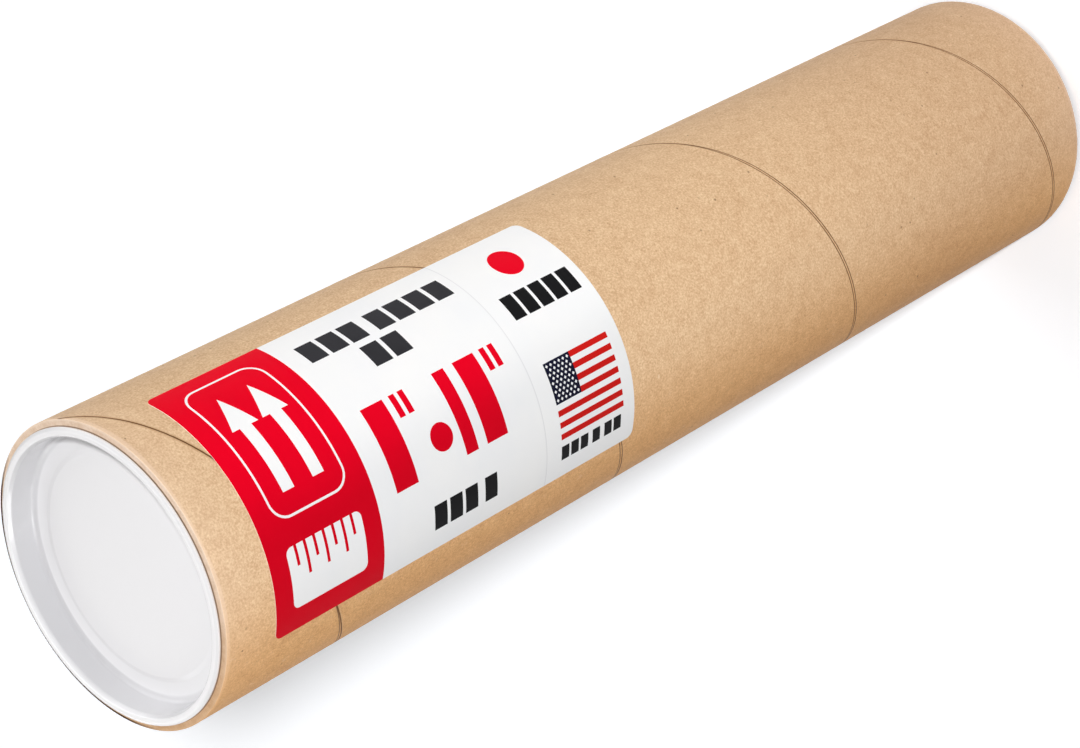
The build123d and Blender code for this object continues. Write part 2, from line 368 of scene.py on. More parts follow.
seam = dict(
    open=0.94, closed=0.18,  # the gap between the two edges where it is widest and where it is shut
    lineWidth=0.44, lineRagged=0.25, ragged=420.0, lineShare=0.92, line=srgb(94, 60, 32),
    uneven=25.0, partedUnevenly=0.4, shutBeyond=0.95, openWithin=0.7,  # shut on the side that x points to
    opensBelow=405.0,  # the highest turn lies shut
    # painted shade around the seam, and under it a painted highlight on a pale edge
    shadeFrom=0.45, shadeTo=1.3, shadeShut=0.5, shadeOpen=0.22, shade=srgb(178, 134, 90),
    highlightBelow=0.8, highlightWidth=0.45, highlightShare=0.2, edge=srgb(240, 210, 174),
)


def mottle(nodes, noise, contrast, level):
    # Adds a noise to the brightness level, as strongly as contrast says
    return nodes.math("MULTIPLY_ADD", nodes.math("SUBTRACT", noise, 0.5), contrast, level)


def thinLines(nodes, scale, width, curl, shift):
    # Fibres: the places where a distorted noise passes its middle value, broken up by a second noise
    moved = nodes.tree.nodes.new("ShaderNodeVectorMath")
    nodes.link(nodes.place, moved.inputs[0])
    moved.inputs[1].default_value = (shift, -shift, shift)
    tangle = nodes.noise(moved.outputs[0], scale, 1.0, 0.5, curl)
    near = nodes.math("ABSOLUTE", nodes.math("SUBTRACT", tangle, 0.5))
    broken = nodes.ramp(nodes.noise(moved.outputs[0], scale * 0.6, 1.0), 0.52, 0.6)
    return nodes.math("MULTIPLY", nodes.ramp(near, width * 0.4, width, 1.0, 0.0), broken)


def trimmedEnds(nodes, color, up, cloud):
    # Rubbed and paler where the board's ends were trimmed, and faintly so for some way in
    overFloor = nodes.math("SUBTRACT", up, tubeLow.z)
    underTop = nodes.math("SUBTRACT", tubeHigh.z, up)
    fromEnd = nodes.math("MINIMUM", overFloor, underTop)
    faded = nodes.ramp(fromEnd, 0.0, kraft["fadedWidth"] * mm, kraft["fadedShare"], 0.0)
    width = kraft["rubbedWidth"]
    ragged = mottle(nodes, cloud, kraft["rubbedRagged"] * mm, fromEnd)
    rubbed = nodes.ramp(ragged, (width - 0.5) * mm, width * mm, kraft["rubbedShare"], 0.0)
    color = nodes.mix(faded, color, kraft["rubbedColor"])
    return nodes.mix(rubbed, color, kraft["rubbedColor"])


def seamMarks(nodes, color, away, up):
    # Two dark lines at half the gap's width above and below the seam, a soft painted shade around them
    # and a painted highlight, a pale edge, under them. The gap opens and shuts along the seam.
    ragged = nodes.noise(nodes.place, seam["ragged"], 2.0, 0.6)
    uneven = nodes.noise(nodes.place, seam["uneven"], 1.0)
    sideways = nodes.math("DIVIDE", nodes.separate(nodes.place)[0], tubeRadius)
    facing = nodes.math("MULTIPLY_ADD", uneven, seam["partedUnevenly"], sideways)
    parted = nodes.ramp(facing, seam["shutBeyond"], seam["openWithin"])
    lower = nodes.ramp(up, seam["opensBelow"] * mm, (seam["opensBelow"] + 10) * mm, 1.0, 0.0)
    parted = nodes.math("MULTIPLY", parted, lower)
    half = nodes.math("MULTIPLY_ADD", parted, seam["open"] / 2 * mm, seam["closed"] / 2 * mm)
    offCentre = nodes.math("ABSOLUTE", mottle(nodes, ragged, seam["lineRagged"] * mm, away))
    fromEdge = nodes.math("ABSOLUTE", nodes.math("SUBTRACT", offCentre, half))
    lineHalf = seam["lineWidth"] / 2 * mm
    line = nodes.ramp(fromEdge, lineHalf * 0.7, lineHalf * 1.3, 1.0, 0.0)
    shade = nodes.ramp(offCentre, seam["shadeFrom"] * mm, seam["shadeTo"] * mm, 1.0, 0.0)
    shadeShare = nodes.ramp(parted, 0.0, 1.0, seam["shadeShut"], seam["shadeOpen"])
    underSeam = nodes.math("ABSOLUTE", nodes.math("ADD", away, seam["highlightBelow"] * mm))
    seamHighlight = nodes.ramp(underSeam, 0.1 * mm, seam["highlightWidth"] * mm, 1.0, 0.0)
    color = nodes.layer(shade, shadeShare, seam["shade"], color)
    color = nodes.layer(seamHighlight, seam["highlightShare"], seam["edge"], color)
    return nodes.layer(line, seam["lineShare"], seam["line"], color)


def kraftMaterial(name, tint=1.0, outside=True):
    # Brown paper: color * level, where level is tint + the sum of contrast * (noise - 1/2), then pale and dark
    # fibres, scattered dark specks and pale flecks, and on the outside the trimmed ends and the spiral seam
    nodes = Nodes(name)
    away, around, up = helixDistance(nodes)
    grain = nodes.noise(nodes.place, kraft["grain"], 2.0, 0.7)
    pulp = nodes.noise(nodes.place, kraft["pulp"], 2.0, 0.6)
    cloud = nodes.noise(nodes.place, kraft["cloud"], 2.0, 0.5)
    level = mottle(nodes, grain, kraft["grainContrast"], tint)
    level = mottle(nodes, pulp, kraft["pulpContrast"], level)
    level = mottle(nodes, cloud, kraft["cloudContrast"], level)
    green = nodes.math("POWER", level, kraft["greenPower"])
    blue = nodes.math("POWER", level, kraft["bluePower"])
    color = nodes.mix(1.0, kraft["color"], nodes.combine(level, green, blue), "MULTIPLY")
    if outside:
        color = trimmedEnds(nodes, color, up, cloud)
    # Painted shade: darker and warmer on the shaded side, and darker towards the floor except low on the shaded side
    color = tinted(nodes, onShadedSide(nodes, kraft["kraftShadeFrom"], kraft["kraftShadeTo"]), color, kraft["kraftShadeTint"])
    low = nodes.ramp(up, kraft["sparedBelow"] * mm, kraft["sparedAbove"] * mm, 1.0, 0.0, smooth=True)
    spared = nodes.math("MULTIPLY", onShadedSide(nodes, kraft["sparedFrom"], kraft["sparedTo"]), low)
    floorShade = nodes.ramp(up, 0.0, kraft["floorShadeHeight"] * mm, 1.0, 0.0, smooth=True)
    floorShade = nodes.math("MULTIPLY", floorShade, nodes.math("SUBTRACT", 1.0, spared))
    color = tinted(nodes, floorShade, color, kraft["floorShadeTint"])
    pale = thinLines(nodes, kraft["fibres"], kraft["paleWidth"], kraft["fibreCurl"], 0.0)
    dark = thinLines(nodes, kraft["fibres"], kraft["darkWidth"], kraft["fibreCurl"], kraft["darkShift"])
    color = nodes.layer(pale, kraft["paleShare"], kraft["paleFibre"], color)
    color = nodes.layer(dark, kraft["darkShare"], kraft["darkFibre"], color)
    gap, pick = nodes.cells(nodes.combine(around, up, 0.0), kraft["specks"])
    size = nodes.ramp(pick[1], 0.0, 1.0, kraft["speckSmall"], kraft["speckLarge"])
    rare = nodes.ramp(pick[0], kraft["speckRare"], kraft["speckRare"] + 0.02)
    speck = nodes.math("MULTIPLY", nodes.ramp(gap, 0.05, size, 1.0, 0.0), rare)
    color = nodes.layer(speck, kraft["speckShare"], kraft["speckColor"], color)
    stretched = nodes.combine(nodes.math("MULTIPLY", around, kraft["fleckStretch"]), up, 0.3)
    gap, pick = nodes.cells(stretched, kraft["flecks"])
    rare = nodes.ramp(pick[1], kraft["fleckRare"], kraft["fleckRare"] + 0.02)
    fleck = nodes.math("MULTIPLY", nodes.ramp(gap, 0.03, 0.11, 1.0, 0.0), rare)
    color = nodes.layer(fleck, kraft["fleckShare"], kraft["fleckColor"], color)
    if outside:
        color = seamMarks(nodes, color, away, up)
    normal = nodes.bump(grain, kraft["bumpHeight"] * mm, kraft["bumpStrength"])
    return nodes.shader(color, kraft["roughness"], normal,
                        Specular_IOR_Level=0.12, Sheen_Weight=0.05, Sheen_Roughness=0.4)


board = dict(
    pale=srgb(243, 220, 199), deep=srgb(228, 200, 174), pulp=260.0, paleFrom=0.38, paleTo=0.64,
    plyThickness=0.42, plyWobble=0.3, wobble=120.0, plyWidth=0.07, plyShare=0.25, plyLine=srgb(150, 110, 76),
    rubbedFrom=0.4, rubbedTo=1.0, rubbedShare=0.4, rubbed=srgb(244, 224, 204),
    # painted shade on the shaded side
    sideShadeTint=(0.8, 0.66, 0.5), sideShadeFrom=0.0, sideShadeTo=0.9,
    backEdgeShade=srgb(66, 42, 24), backEdgeShadeFrom=0.3, backEdgeShadeTo=0.6,  # painted shade on the outer edge at the back, as shares of the radius
    gapWidth=0.28, gapShare=0.8, gapShade=srgb(134, 108, 88),
    roughness=0.85, bumpHeight=0.08, bumpStrength=0.5,
)


def cutEndMaterial():
    # Trimmed board end: pale and a little fuzzy, with thin lines between the plies and rubbed paler at its outer
    # corner, painted shade on that corner at the back and on the shaded side, and painted shade in the narrow gap
    # beside the cap's flange
    nodes = Nodes("cutBoard")
    x, y, z = nodes.separate(nodes.place)
    radius = nodes.fromAxis()
    uneven = mottle(nodes, nodes.noise(nodes.place, board["wobble"], 2.0), board["plyWobble"] * mm, radius)
    depth = nodes.math("SUBTRACT", tubeRadius, uneven)
    ply = nodes.math("PINGPONG", depth, board["plyThickness"] / 2 * mm)
    line = nodes.ramp(ply, 0.0, board["plyWidth"] * mm, 1.0, 0.0)
    pulp = nodes.noise(nodes.place, board["pulp"], 4.0, 0.8)
    color = nodes.mix(nodes.ramp(pulp, board["paleFrom"], board["paleTo"]), board["pale"], board["deep"])
    color = nodes.layer(line, board["plyShare"], board["plyLine"], color)
    corner = nodes.ramp(depth, board["rubbedFrom"] * mm, board["rubbedTo"] * mm, board["rubbedShare"], 0.0)
    color = nodes.mix(corner, color, board["rubbed"])
    # Painted shade: deeper on the shaded side, dark brown on the outer corner at the back, darker beside the flange
    color = tinted(nodes, onShadedSide(nodes, board["sideShadeFrom"], board["sideShadeTo"]), color, board["sideShadeTint"])
    back = nodes.ramp(y, board["backEdgeShadeFrom"] * tubeRadius, board["backEdgeShadeTo"] * tubeRadius)
    color = nodes.layer(nodes.ramp(depth, 0.8 * mm, 1.1 * mm, 1.0, 0.0), back, board["backEdgeShade"], color)
    fromFlange = nodes.math("SUBTRACT", radius, rimRadius)
    beside = nodes.ramp(fromFlange, 0.05 * mm, board["gapWidth"] * mm, board["gapShare"], 0.0)
    color = nodes.mix(beside, color, board["gapShade"])
    height = nodes.math("SUBTRACT", pulp, nodes.math("MULTIPLY", line, 0.8))
    normal = nodes.bump(height, board["bumpHeight"] * mm, board["bumpStrength"])
    return nodes.shader(color, board["roughness"], normal, Specular_IOR_Level=0.08)


# End caps

cap = dict(
    columns=256,
    flangeThickness=1.3, recessDepth=9.6, floorThickness=1.5,
    plugClearance=0.25, plugWall=0.8, plugDraft=0.4, plugLeadIn=0.7,
    rimSlope=1.2, rimDrop=0.6, rimCrest=0.6,  # the flange falls off a little towards its rim
    bevelWidth=0.8, bevelDepth=1.4, bevelCorner=0.6,
    outerLip=0.2, plugCorner=0.15, leadInCorner=0.2, floorCorner=1.5,
    ringCount=3, ringWidth=0.9, ringCrest=0.3, ringSpacing=2.4, ringClearance=0.05, ringCorner=0.1,
    stepInset=8.1, stepHeight=0.22, stepSlope=1.6, stepCorner=0.5,  # the raised disc in the recess floor
    color=srgb(238, 238, 241), flangeColor=srgb(240, 240, 243), rimShadeColor=srgb(224, 224, 227),
    lipShadeColor=srgb(212, 212, 215), wallShadeColor=srgb(216, 216, 219), backWallShadeColor=srgb(186, 186, 189),
    flangeFrom=8.3, flangeTo=6.4,  # in from the outside of the board, from the recess floor's tone, a touch greyer as painted shade, to the flange's
    rimFrom=1.3, rimTo=0.7,  # in from the rim, from the flange's tone to the rim's painted shade
    lipDepth=0.4, wallFrom=0.6, wallTo=1.8,  # depths at which the painted shade of lip and wall sets in
    frontTo=0.2, lipBack=(-0.4, 0.1), wallBack=(0.2, 0.9),  # how far to the front or back each painted shade reaches, in tube radii
    roughness=0.2, gloss=0.5, softness=0.35, softDepth=2.5,
    peel=300.0, peelHeight=0.02, peelStrength=0.1,
)


def capProfile():
    # Half section as (radius, height) from the middle of the recess floor out to the rim,
    # round the flange and down the plug to the middle of the underside
    bore = tubeRadius / mm - tube["boardThickness"]
    plug = bore - cap["plugClearance"]
    mouth = plug - cap["plugWall"]
    floorEdge = mouth - cap["plugDraft"]
    step = floorEdge - cap["stepInset"]
    rim = rimRadius / mm
    deep = -cap["recessDepth"]
    end = deep - cap["floorThickness"]
    crest = bore - cap["ringClearance"]
    middle = -(-end - cap["plugLeadIn"] + cap["flangeThickness"]) / 2
    centres = middle + (np.arange(cap["ringCount"])[::-1] - (cap["ringCount"] - 1) / 2) * cap["ringSpacing"]
    corners = [(0, deep + cap["stepHeight"]), (step, deep + cap["stepHeight"]), (step + cap["stepSlope"], deep),
               (floorEdge, deep), (mouth, -cap["bevelDepth"]), (mouth + cap["bevelWidth"], 0),
               (rim - cap["rimSlope"], 0), (rim, -cap["rimDrop"]),
               (rim, -cap["flangeThickness"]), (plug, -cap["flangeThickness"])]
    radii = [0, cap["stepCorner"], cap["stepCorner"], cap["floorCorner"], cap["bevelCorner"], cap["bevelCorner"],
             cap["rimCrest"], cap["outerLip"], cap["outerLip"], cap["plugCorner"]]
    for centre in centres:
        corners += [(plug, centre + cap["ringWidth"] / 2), (crest, centre + cap["ringCrest"] / 2),
                    (crest, centre - cap["ringCrest"] / 2), (plug, centre - cap["ringWidth"] / 2)]
        radii += [0, cap["ringCorner"], cap["ringCorner"], 0]
    corners += [(plug, end + cap["plugLeadIn"]), (plug - cap["plugLeadIn"], end), (0, end)]
    radii += [cap["leadInCorner"], cap["leadInCorner"], 0]
    return roundedLine(corners, radii) * mm


def capMesh(name, rimHeight, upward):
    # The half section turned about the axis: (r cos a, r sin a, rim height + or - h)
    line = capProfile()
    angle = np.arange(cap["columns"]) / cap["columns"] * turn
    r, h = line[:, 0:1], line[:, 1:2]
    points = np.stack([r * np.cos(angle), r * np.sin(angle), rimHeight + upward * h + 0 * angle], -1)
    return meshFromGrid(name, points, True, False)


def plasticMaterial():
    # White moulded plastic, a little translucent, with a fine orange-peel gloss, and painted shade: greyer on the rim
    # at the front, on the lip and down the recess wall at the back, and a touch greyer on the recess floor
    nodes = Nodes("whitePlastic")
    x, y, z = nodes.separate(nodes.place)
    radius = nodes.fromAxis()
    middle = capHigh.z / 2
    fromMiddle = nodes.math("ABSOLUTE", nodes.math("SUBTRACT", z, middle))
    down = nodes.math("SUBTRACT", middle, fromMiddle)  # from the nearer end of the tube
    outwards = nodes.ramp(radius, tubeRadius - cap["flangeFrom"] * mm, tubeRadius - cap["flangeTo"] * mm)
    rim = nodes.ramp(radius, rimRadius - cap["rimFrom"] * mm, rimRadius - cap["rimTo"] * mm)
    inRadii = nodes.math("DIVIDE", y, tubeRadius)
    front = nodes.ramp(inRadii, cap["frontTo"], -cap["frontTo"])
    lip = nodes.math("MULTIPLY", outwards, nodes.ramp(down, 0.0, cap["lipDepth"] * mm))
    lip = nodes.math("MULTIPLY", lip, nodes.ramp(inRadii, *cap["lipBack"]))
    wall = nodes.ramp(down, cap["wallFrom"] * mm, cap["wallTo"] * mm)
    wallShadeColor = nodes.mix(nodes.ramp(inRadii, *cap["wallBack"]), cap["wallShadeColor"], cap["backWallShadeColor"])
    color = nodes.mix(outwards, cap["color"], cap["flangeColor"])
    # Painted shade: the rim greyer at the front, the lip and recess wall greyer at the back
    color = nodes.layer(rim, front, cap["rimShadeColor"], color)
    color = nodes.mix(lip, color, cap["lipShadeColor"])
    color = nodes.layer(lip, wall, wallShadeColor, color)
    normal = nodes.bump(nodes.noise(nodes.place, cap["peel"], 1.0), cap["peelHeight"] * mm, cap["peelStrength"])
    return nodes.shader(color, cap["roughness"], normal, Specular_IOR_Level=cap["gloss"],
                        Subsurface_Weight=cap["softness"], Subsurface_Radius=(1.0, 1.0, 1.0),
                        Subsurface_Scale=cap["softDepth"] * mm)


# Label and its print, drawn flat and then wrapped on the tube.
# Flat places are (along, across) in millimetres from the label's top reading corner.

label = dict(
    length=163.9, height=92.5, corner=2.6,
    belowTop=19.6,
    sunk=0.12,  # paper and ink lie this much inside the room that they are given
    inkThickness=0.03,
    stripAcross=1.2, stripAlong=6.0,  # size of the mesh's facets
    lift=0.03,  # unevenness of the glued paper
    paper=srgb(251, 253, 255), paperShade=srgb(247, 250, 254), mottling=45.0,
    grain=900.0, roughness=0.45, gloss=0.15, bumpHeight=0.015, bumpStrength=0.25,
    seamFrom=0.2, seamTo=1.6, seamHeight=2.0,  # the seam felt through the paper
    foldAlong=120.1, foldWidth=0.28, foldShare=0.5, fold=srgb(214, 216, 222),  # thin line between two panels
    # painted shade on the shaded side, for the paper and then for the inks
    sideShadeTint=(0.845, 0.85, 0.855), sideShadeFrom=-0.42, sideShadeTo=0.08,
    inkSideShadeTint=(0.7, 0.66, 0.66), inkSideShadeTo=0.15,
)
labelTop = tubeHigh.z - label["belowTop"] * mm


def roundedRectangle(start, top, length, height, corner=0.0, steps=9):
    # Closed outline with quarter circles at its corners
    bend = np.linspace(0, math.pi / 2, steps if corner else 1)
    outline = []
    right, bottom = start + length, top + height
    for k, (x, y) in enumerate([(right, bottom), (start, bottom), (start, top), (right, top)]):
        inX = corner if k in (1, 2) else -corner
        inY = corner if k in (2, 3) else -corner
        a = bend + k * math.pi / 2
        outline.append(np.stack([x + inX + corner * np.cos(a), y + inY + corner * np.sin(a)], 1))
    return np.concatenate(outline)


def circle(along, across, radius, steps=48):
    a = np.arange(steps) / steps * turn
    return np.stack([along + radius * np.cos(a), across + radius * np.sin(a)], 1)


def wrap(flat, base):
    # (along, across, thickness) to a place on the tube: angle = middle - (across - half height) / R,
    # radius = base + thickness + small unevenness, height = label top - along
    along, across, thick = flat[:, 0] * mm, flat[:, 1] * mm, flat[:, 2] * mm
    angle = -turn / 4 - (across - label["height"] * mm / 2) / tubeRadius
    uneven = label["lift"] * mm * (ripple(along * 60 + across * 25, across * 80 - along * 31, along * 110) - 1) / 2
    radius = base + thick + uneven
    return np.stack([radius * np.cos(angle), radius * np.sin(angle), labelTop - along], 1)


def wrappedPiece(name, outlines, low, high, replaced, material):
    # Outlines drawn inside one another leave holes. The flat shape is filled, cut into narrow strips
    # both ways, given its thickness and wrapped.
    curve = bpy.data.curves.new(name, "CURVE")
    curve.dimensions = "2D"
    curve.fill_mode = "BOTH"
    for outline in outlines:
        spline = curve.splines.new("POLY")
        spline.points.add(len(outline) - 1)
        flat = np.concatenate([outline, np.zeros((len(outline), 1)), np.ones((len(outline), 1))], 1)
        spline.points.foreach_set("co", flat.reshape(-1).astype(np.float32))
        spline.use_cyclic_u = True
    drawn = bpy.data.objects.new(name + "Drawing", curve)
    filled = bpy.data.meshes.new_from_object(drawn)
    bpy.data.objects.remove(drawn)
    bpy.data.curves.remove(curve)
    shape = bmesh.new()
    shape.from_mesh(filled)
    bpy.data.meshes.remove(filled)
    bmesh.ops.remove_doubles(shape, verts=shape.verts, dist=1e-4)
    bmesh.ops.dissolve_limit(shape, angle_limit=0.01, verts=shape.verts, edges=shape.edges)
    low, high = low / mm, high / mm
    box = np.array([vertex.co[:2] for vertex in shape.verts])
    for axis, size in ((0, label["stripAlong"]), (1, label["stripAcross"])):
        direction = Vector(np.eye(3)[axis])
        first = math.floor(box[:, axis].min() / size) + 1
        for number in range(first, math.ceil(box[:, axis].max() / size)):
            everything = shape.verts[:] + shape.edges[:] + shape.faces[:]
            bmesh.ops.bisect_plane(shape, geom=everything, plane_co=direction * (number * size), plane_no=direction)
    raised = bmesh.ops.extrude_face_region(shape, geom=shape.faces[:], use_keep_orig=True)
    moved = [part for part in raised["geom"] if isinstance(part, bmesh.types.BMVert)]
    bmesh.ops.translate(shape, verts=moved, vec=(0, 0, high - low))
    mesh = bpy.data.meshes.new(name)
    shape.to_mesh(mesh)
    shape.free()
    flat = np.zeros(len(mesh.vertices) * 3, np.float32)
    mesh.vertices.foreach_get("co", flat)
    wrapped = wrap(flat.reshape(-1, 3).astype(float), low * mm)
    mesh.vertices.foreach_set("co", wrapped.reshape(-1).astype(np.float32))
    mesh.update()
    finishMesh(name, mesh, [material], "tube", replaced, 40)


# Print, in the order in which it is read

redPrint = dict(
    fieldLength=45.4,
    frameStart=7.2, frameLength=31.0, frameTop=5.7, frameHeight=51.0, frameLine=0.8, frameCorner=6.4,
    arrowSpacing=12.2, arrowMargin=7.5, arrowHeadWidth=10.4, arrowHeadHeight=13.0, arrowShaftWidth=4.6,
    gaugeBelowFrame=7.9, gaugeHeight=20.0, gaugeCorner=2.4, gaugeTicks=7,
    tickWidth=1.1, tickHeight=6.5, longTickHeight=10.5,
    markStart=54.0, markLength=59.0, markTop=38.2, markHeight=28.0,
    barShares=[(0.0, 0.16), (0.53, 0.09), (0.69, 0.16)],
    tickShares=[(0.205, 0.04), (0.27, 0.04), (0.895, 0.04), (0.96, 0.04)],
    tickHeightShare=0.28, discShare=0.4, discRadius=4.6,
    badgeTop=14.8, badgeRadius=6.2,
)
column = dict(
    margin=5.5,
    stripeLength=31.0, stripeTop=52.0, stripePitch=4.05, stripeHeight=2.03, stripes=7, shortStripes=4,
    cornerLength=12.3, cornerHeight=14.1, dotRows=9, dotsInRow=6, dotRadius=0.602, dotMargin=1.2,
)
columnStart = label["length"] - column["margin"] - column["stripeLength"]
blocks = dict(
    title=dict(start=52.9, top=8.4, height=8.6, block=7.2, gap=1.7, runGap=4.4, runs=[3, 4]),
    subtitle=dict(start=70.3, top=19.6, height=8.6, block=7.2, gap=1.7, runGap=4.4, runs=[2]),
    packing=dict(start=67.9, top=76.4, height=8.6, block=5.6, gap=1.4, runGap=3.4, runs=[3, 1]),
    badgeRow=dict(start=columnStart, top=26.4, height=9.2, block=5.4, gap=1.3, runGap=1.3, runs=[5]),
    foot=dict(start=columnStart, top=80.8, height=5.0, block=3.7, gap=1.0, runGap=2.2, runs=[3, 1, 2]),
)


def arrowOutline(along, value):
    # Seven corners of an arrow that points to the label's top edge
    middle = value["frameTop"] + value["frameHeight"] / 2
    half = value["frameHeight"] / 2 - value["arrowMargin"]
    shoulder = half - value["arrowHeadHeight"]
    head, shaft = value["arrowHeadWidth"] / 2, value["arrowShaftWidth"] / 2
    return np.array([(along, middle - half), (along - head, middle - shoulder), (along - shaft, middle - shoulder),
                     (along - shaft, middle + half), (along + shaft, middle + half),
                     (along + shaft, middle - shoulder), (along + head, middle - shoulder)])


def gaugeOutline(value):
    # Rounded strip whose top edge is notched by ticks, every second one long
    top = value["frameTop"] + value["frameHeight"] + value["gaugeBelowFrame"]
    start, length = value["frameStart"], value["frameLength"]
    pitch = length / (value["gaugeTicks"] + 1)
    body = roundedRectangle(start, top, length, value["gaugeHeight"], value["gaugeCorner"])
    notches = []
    for number in range(value["gaugeTicks"]):
        deep = value["longTickHeight"] if number % 2 else value["tickHeight"]
        left = start + (number + 1) * pitch - value["tickWidth"] / 2
        right = left + value["tickWidth"]
        notches += [(left, top), (left, top + deep), (right, top + deep), (right, top)]
    steps = len(body) // 4
    return np.concatenate([body[:3 * steps], np.array(notches), body[3 * steps:]])


def redOutlines():
    # Near field with its frame, arrows and gauge, the row of bars with its disc, the far disc and the stripes
    value = redPrint
    field = roundedRectangle(0, 0, 2 * value["fieldLength"], label["height"], label["corner"])
    field[:, 0] = np.minimum(field[:, 0], value["fieldLength"])
    line = value["frameLine"]
    frameBox = (value["frameStart"], value["frameTop"], value["frameLength"], value["frameHeight"])
    inner = (frameBox[0] + line, frameBox[1] + line, frameBox[2] - 2 * line, frameBox[3] - 2 * line)
    centre = value["frameStart"] + value["frameLength"] / 2
    outlines = [field, roundedRectangle(*frameBox, value["frameCorner"]),
                roundedRectangle(*inner, value["frameCorner"] - line)]
    outlines += [arrowOutline(centre + side * value["arrowSpacing"] / 2, value) for side in (-1, 1)]
    outlines.append(gaugeOutline(value))
    start, length, top, height = value["markStart"], value["markLength"], value["markTop"], value["markHeight"]
    outlines += [roundedRectangle(start + s * length, top, w * length, height) for s, w in value["barShares"]]
    outlines += [roundedRectangle(start + s * length, top, w * length, value["tickHeightShare"] * height)
                 for s, w in value["tickShares"]]
    disc = value["discRadius"]
    outlines.append(circle(start + value["discShare"] * length, top + height - 2 * disc, disc))
    outlines.append(circle(columnStart + column["stripeLength"] / 2, value["badgeTop"], value["badgeRadius"]))
    for number in range(column["stripes"]):
        inset = column["cornerLength"] if number < column["shortStripes"] else 0
        outlines.append(roundedRectangle(columnStart + inset, column["stripeTop"] + number * column["stripePitch"],
                                         column["stripeLength"] - inset, column["stripeHeight"]))
    return outlines


def darkOutlines():
    # Rows of blocks: each run is a number of blocks a gap apart, and runs stand a wider gap apart
    outlines = []
    for row in blocks.values():
        start = row["start"]
        for count in row["runs"]:
            for number in range(count):
                outlines.append(roundedRectangle(start, row["top"], row["block"], row["height"]))
                start += row["block"] + row["gap"]
            start += row["runGap"] - row["gap"]
    return outlines


def cornerOutlines():
    # Dark rectangle with staggered rows of small diamonds left open
    outlines = [roundedRectangle(columnStart, column["stripeTop"], column["cornerLength"], column["cornerHeight"])]
    rowPitch = (column["cornerHeight"] - 2 * column["dotMargin"]) / (column["dotRows"] - 1)
    dotPitch = (column["cornerLength"] - 2 * column["dotMargin"]) / (column["dotsInRow"] - 1)
    for row in range(column["dotRows"]):
        for number in range(column["dotsInRow"] - row % 2):
            along = columnStart + column["dotMargin"] + (number + row % 2 / 2) * dotPitch
            across = column["stripeTop"] + column["dotMargin"] + row * rowPitch
            outlines.append(circle(along, across, column["dotRadius"], 4))
    return outlines


def paperMaterial():
    # Coated label paper: near white, faint mottling, a satin surface, the thin grey line between its panels and
    # painted shade on the shaded side
    nodes = Nodes("labelPaper")
    x, y, z = nodes.separate(nodes.place)
    cloud = nodes.noise(nodes.place, label["mottling"], 3.0, 0.6)
    grain = nodes.noise(nodes.place, label["grain"], 2.0, 0.6)
    color = nodes.mix(nodes.ramp(cloud, 0.3, 0.7), label["paper"], label["paperShade"])
    along = nodes.math("SUBTRACT", labelTop, z)
    fromLine = nodes.math("ABSOLUTE", nodes.math("SUBTRACT", along, label["foldAlong"] * mm))
    line = nodes.ramp(fromLine, 0.12 * mm, label["foldWidth"] * mm, label["foldShare"], 0.0)
    color = nodes.mix(line, color, label["fold"])
    # Painted shade: greyer on the shaded side
    color = tinted(nodes, onShadedSide(nodes, label["sideShadeFrom"], label["sideShadeTo"]), color, label["sideShadeTint"])
    away = nodes.math("ABSOLUTE", helixDistance(nodes)[0])
    pressed = nodes.ramp(away, label["seamFrom"] * mm, label["seamTo"] * mm)
    height = nodes.math("MULTIPLY_ADD", pressed, label["seamHeight"], grain)
    normal = nodes.bump(height, label["bumpHeight"] * mm, label["bumpStrength"])
    return nodes.shader(color, label["roughness"], normal, Specular_IOR_Level=label["gloss"])


inks = dict(
    redInk=dict(color=srgb(237, 0, 36), deeper=srgb(231, 0, 34), roughness=0.5,
                second=dict(join="MULTIPLY", across=column["stripeTop"] - 1, color=srgb(223, 32, 28))),
    darkInk=dict(color=srgb(52, 52, 56), deeper=srgb(46, 46, 50), roughness=0.45,
                 second=dict(join="MAXIMUM", across=40.0, color=srgb(17, 17, 19))),
    navyInk=dict(color=srgb(15, 18, 45), deeper=srgb(12, 15, 41), roughness=0.45),
)
inkFilm = dict(
    mottling=55.0, grain=900.0, bumpHeight=0.01, bumpStrength=0.2, gloss=0.06,
    screen=1500.0, screenContrast=0.05,  # the press's fine dots, felt in the gloss
)


def pastCorner(nodes, along, across):
    # 1 or 0 for lying further down the label than a place on it, and the same for lying further along
    corner = wrap(np.array([[along, across, 0.0]]), labelRadius)[0]
    x, y, z = nodes.separate(nodes.place)
    return [nodes.ramp(value, edge, edge - 0.1 * mm) for value, edge in ((x, corner[0]), (z, corner[2]))]


def inkMaterial(name, color, deeper, roughness, second=None):
    # Printed ink: nearly even colour, deeper on the shaded side as painted shade, and a gloss that varies finely with
    # the press's screen.
    # A second shade prints where a place lies past the far column's start, its row, or both, as join says.
    nodes = Nodes(name)
    if second:
        there = nodes.math(second["join"], *pastCorner(nodes, columnStart - 1, second["across"]))
        color, deeper = nodes.mix(there, color, second["color"]), nodes.mix(there, deeper, second["color"])
    cloud = nodes.noise(nodes.place, inkFilm["mottling"], 3.0, 0.6)
    screen = nodes.noise(nodes.place, inkFilm["screen"], 2.0, 0.7)
    height = nodes.noise(nodes.place, inkFilm["grain"], 2.0, 0.6)
    tone = nodes.mix(nodes.ramp(cloud, 0.3, 0.7), color, deeper)
    # Painted shade: deeper on the shaded side
    tone = tinted(nodes, onShadedSide(nodes, label["sideShadeFrom"], label["inkSideShadeTo"]), tone, label["inkSideShadeTint"])
    rough = nodes.ramp(screen, 0.3, 0.7, roughness - inkFilm["screenContrast"], roughness + inkFilm["screenContrast"])
    normal = nodes.bump(height, inkFilm["bumpHeight"] * mm, inkFilm["bumpStrength"])
    return nodes.shader(tone, rough, normal, Specular_IOR_Level=inkFilm["gloss"])


# Build the pieces

